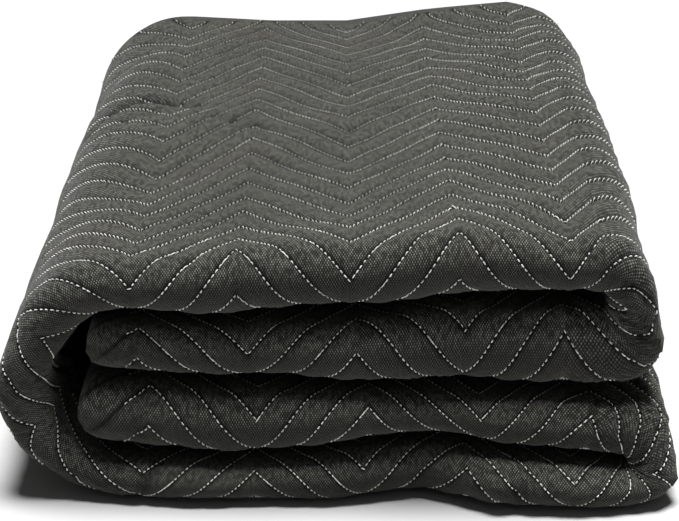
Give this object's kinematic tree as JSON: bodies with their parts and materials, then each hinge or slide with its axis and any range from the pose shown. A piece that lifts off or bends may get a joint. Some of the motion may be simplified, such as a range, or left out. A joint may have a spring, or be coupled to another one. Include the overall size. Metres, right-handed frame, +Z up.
{
  "type": "moving pad",
  "caption": "Quilted charcoal moving pad folded into a soft pile of double layers, with rounded noses along the front, a big roll on the left and zigzag quilting.",
  "frame": {"origin": "centre of the bounding box's bottom face, on the surface that the pile rests on", "axes": "+X across the pile, towards the two tight folds, +Y from the rounded front noses to the hemmed back edges, +Z up"},
  "size_m": [0.5985, 0.8769, 0.2762],
  "materials": {
    "cover_cloth": "matt charcoal woven cover, quilted in zigzag rows with off-white thread"
  },
  "bodies": {
    "root": {"quilted_pad": "cover_cloth"}
  },
  "joints": []
}
